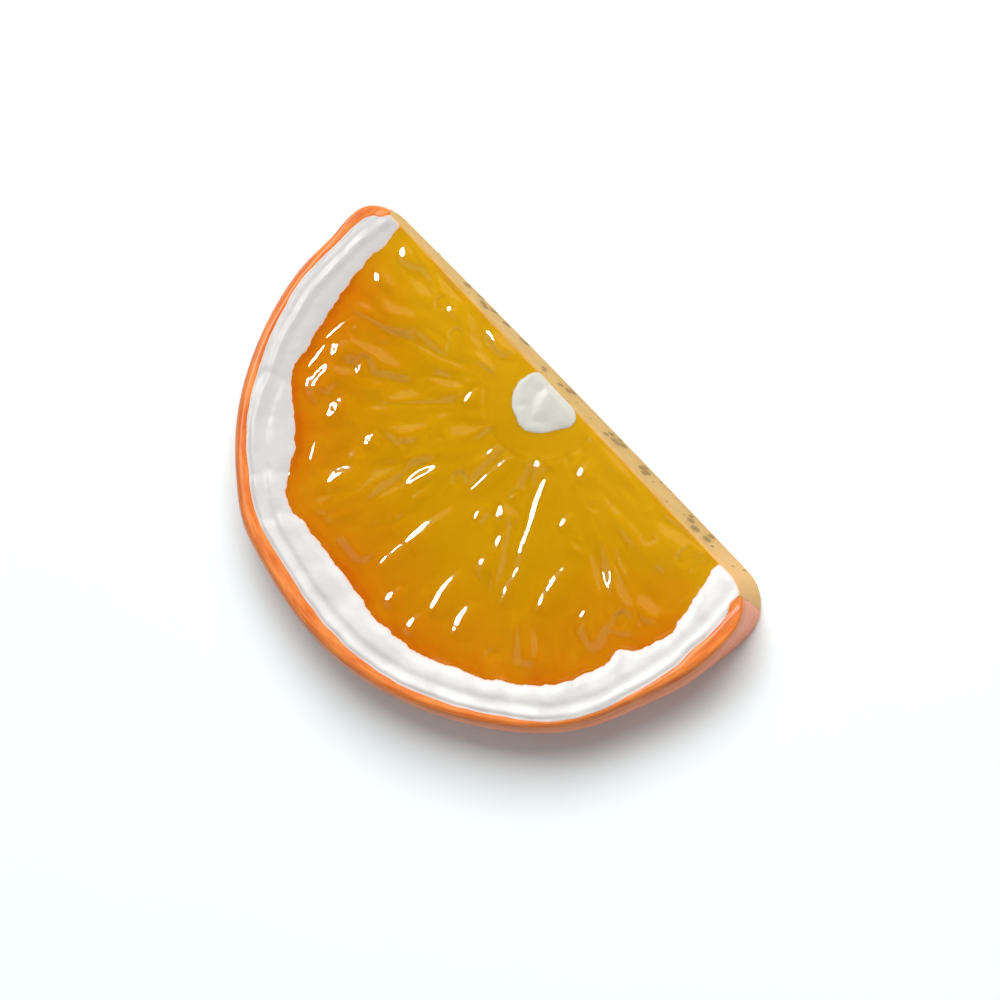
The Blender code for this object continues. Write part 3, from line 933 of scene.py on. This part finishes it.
def bubble_material():
    """Olive where a bubble lies just under the cut, and peach like the cut at its blurred border."""
    nodes = Nodes(bpy.data.materials.new("bubbles"))
    position = nodes.position()
    tone = nodes.noise(position, 1500.0, detail=2.0)
    heart = nodes.mix(tone, colour(132, 100, 42), colour(164, 128, 64))
    share = nodes.step(0.65, 1.0, nodes.attribute("border"))
    nodes.shade({
        "Base Color": nodes.mix(share, heart, colour(196, 156, 92)),
        "Roughness": nodes.step(0.3, 0.7, tone, 0.5, 0.65),
        "Specular IOR Level": 0.15,
    })
    return nodes.owner


def body_fields(points, on_side):
    """The values at the body's points that its material reads."""
    x, y, z = points.T
    radius, _, _, _, _, pulp_radius = bearings(x, y)
    distance, core_angle, _ = core_bearings(x, y)
    turn = np.radians((core_angle + 270) % 360)
    return {
        "from_pith": (pulp_radius - radius) / MM,
        "from_core": distance / MM,
        "from_cut": (CUT_OFFSET - y) / MM,
        "cut_side": on_side.astype(float),
        "depth": (FACE_LEVEL - z) / MM,
        "grain": np.column_stack([distance, turn * GRAIN_RADIUS, z]) / MM,
    }


def make_coats(points, faces, on_wall, shift):
    """The coats of paint: parts of the body's own skin, lifted off it."""
    x, y, z = points.T
    _, _, arc, inset, _, _ = bearings(x, y)
    lay = np.column_stack([arc, z + np.where(on_wall, 0, inset), 0 * z]) / MM
    depth = (FACE_LEVEL - z) / MM
    normals = point_normals(points, faces)
    pith, core, peel = coat_fields(points, on_wall)
    white = pith_material()
    coats = (
        ("pith_coat", pith, white, "pith_paint"),
        ("core_coat", core, white, "pith_paint"),
        ("peel_coat", peel, peel_material(), "peel_paint"),
    )
    for name, field, material, slot in coats:
        values = np.column_stack([points, normals, field, lay, depth])
        clipped, coat_faces = clip(values, faces, field)
        inside = clipped[:, 6]
        lift = smooth_step(0, PAINT_EDGE, inside) * (PAINT_THICKNESS + PAINT_SINK) - PAINT_SINK
        places = clipped[:, :3] + clipped[:, 3:6] * lift[:, None]
        coat = make_mesh(name, places + shift, coat_faces, {
            "coat_edge": inside / MM, "lay": clipped[:, 7:10], "depth": clipped[:, 10],
            "core": np.full(len(places), float(name == "core_coat")),
        })
        coat.data.materials.append(material)
        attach(coat, "root")


def make_slice():
    """The resin body and its coats of paint, and how far they are shifted into the frame's box."""
    points, faces = build_body()
    ring = ARC_STEPS + 2 * CORNER_STEPS + CUT_STEPS
    levels = FOOT_STEPS + 1 + WALL_STEPS + SHOULDER_STEPS + 1
    number = np.arange(len(points))
    on_side = number < ring * (levels - 1)
    on_wall = number < ring * (levels - SHOULDER_STEPS // 2)

    low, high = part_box("orange_slice")
    middle = (points[:, 0].min() + points[:, 0].max()) / 2
    shift = np.array([(low.x + high.x) / 2 - middle, high.y - CUT_OFFSET, low.z])
    body = make_mesh("cast_body", points + shift, faces, body_fields(points, on_side))
    body.data.materials.append(resin_material())
    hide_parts("orange_slice")
    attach(body, "root")
    make_coats(points, faces, on_wall, shift)
    return shift


def draw_bubbles():
    """Bubbles just inside the cut: place along it, depth under the face and radius."""
    draw = random.Random(BUBBLE_SEED)
    runs = [(run, BUBBLE_DEPTH, BUBBLE_RADIUS) for run in BUBBLE_RUNS]
    runs.append((STRAY_RUN, STRAY_DEPTH, STRAY_RADIUS))
    return [
        (draw.uniform(first, last), draw.uniform(*depth), draw.uniform(*radius))
        for (first, last, count), depth, radius in runs
        for _ in range(count)
    ]


def cut_wall(x, z):
    """Where the straight cut's wall stands, for a place along it and a height."""
    lean = CUT_LEAN * ((1 - x / FACE_RADIUS) / 2) ** 2
    down = (FACE_LEVEL - CUT_SHOULDER - z) / (FACE_LEVEL - CUT_SHOULDER - CUT_FOOT)
    return CUT_OFFSET - WALL_ROOM - lean * min(max(down, 0), 1) ** 2


def make_bubbles(shift):
    """The bubbles that show through the cut, as flat lenses that stand just out of it."""
    points, faces, border = [], [], []
    rings, sides = BUBBLE_RINGS, BUBBLE_SIDES
    for middle, depth, radius in draw_bubbles():
        start = len(points)
        for step in range(rings + 1):
            share = step / rings
            for side in range(sides):
                spin = 2 * math.pi * side / sides
                x = middle + radius * share * math.cos(spin)
                z = FACE_LEVEL - depth + BUBBLE_TALL * radius * share * math.sin(spin)
                out = BUBBLE_FOOT + BUBBLE_BOW * (1 - share**2)
                points.append((x, cut_wall(x, z) + out, z))
                border.append(share)
        for step in range(rings):
            for side in range(sides):
                after = (side + 1) % sides
                low, high = start + step * sides, start + (step + 1) * sides
                faces.append((low + side, low + after, high + after))
                faces.append((low + side, high + after, high + side))
    points, faces = np.array(points), np.array(faces)
    piece = make_mesh("bubble_marks", points + shift, faces, {"border": np.array(border)})
    piece.data.materials.append(bubble_material())
    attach(piece, "root")


def make_camera(centre):
    """The camera, and the directions of the picture's right and top over the floor."""
    turn, tilt = math.radians(SIGHT_TURN), math.radians(SIGHT_TILT)
    level = Vector((math.cos(turn), math.sin(turn), 0))
    up = Vector((-math.sin(turn), math.cos(turn), 0))
    back = level * math.sin(tilt) + Vector((0, 0, math.cos(tilt)))
    right = up.cross(back)
    aim = centre + right * SIGHT_OFFSET[0] + up * SIGHT_OFFSET[1]
    data = bpy.data.cameras.new("camera")
    data.lens = LENS
    data.sensor_width = SENSOR
    data.clip_start = 0.01
    camera = bpy.data.objects.new("camera", data)
    place = aim + back * (PICTURE_WIDTH * LENS / SENSOR)
    camera.matrix_world = Matrix.Translation(place) @ Matrix((right, up, back)).transposed().to_4x4()
    bpy.context.scene.collection.objects.link(camera)
    bpy.context.scene.camera = camera
    return level, up


def direction_of(level, up, right_part, up_part, rise):
    """A direction from its parts to the picture's right, to its top and upwards."""
    return (level * right_part + up * up_part + Vector((0, 0, rise))).normalized()


def make_light(name, centre, level, up, values, glossy):
    """An area light that shows in reflections alone, or that lights the matt colours alone."""
    towards, distance, size, power = values
    direction = direction_of(level, up, *towards)
    data = bpy.data.lights.new(name, "AREA")
    data.shape = "RECTANGLE"
    data.size, data.size_y = size
    data.energy = power
    light = bpy.data.objects.new(name, data)
    light.location = centre + direction * distance
    light.rotation_mode = "QUATERNION"
    light.rotation_quaternion = direction.to_track_quat("Z", "Y")
    light.visible_camera = False
    light.visible_glossy = glossy
    light.visible_diffuse = not glossy
    bpy.context.scene.collection.objects.link(light)


def make_world(dark):
    """A white studio dome with a dark patch overhead, in the direction that flat resin mirrors."""
    world = bpy.data.worlds.new("studio")
    bpy.context.scene.world = world
    nodes = Nodes(world, "Background")
    place = nodes.add("ShaderNodeTexCoord").outputs["Generated"]
    dot = nodes.add("ShaderNodeVectorMath", {0: place, 1: dark}, operation="DOT_PRODUCT")
    outer, inner = (math.cos(math.radians(turn)) for turn in DARK_EDGE)
    nodes.shade({
        "Strength": nodes.step(outer, inner, dot.outputs["Value"], DOME, DARK),
        "Color": DOME_COLOUR,
    })


def make_floor():
    """The studio's white floor."""
    size = FLOOR_SIZE
    mesh = bpy.data.meshes.new("floor")
    corners = [(-size, -size, 0), (size, -size, 0), (size, size, 0), (-size, size, 0)]
    mesh.from_pydata(corners, [], [(0, 1, 2, 3)])
    floor = bpy.data.objects.new("floor", mesh)
    bpy.context.scene.collection.objects.link(floor)
    nodes = Nodes(bpy.data.materials.new("floor"))
    nodes.shade({"Base Color": FLOOR_COLOUR, "Roughness": 0.7})
    mesh.materials.append(nodes.owner)


def main():
    shift = make_slice()
    centre = Vector(shift) + Vector((0, 0, FACE_LEVEL))
    level, up = make_camera(centre)
    make_bubbles(shift)
    make_floor()
    tilt = math.radians(SIGHT_TILT)
    make_world(direction_of(level, up, -math.sin(tilt), 0, math.cos(tilt)))
    make_light("window", centre, level, up, WINDOW, True)
    make_light("soft_key", centre, level, up, SOFT_KEY, False)
    bpy.context.scene.view_settings.view_transform = "Standard"


main()
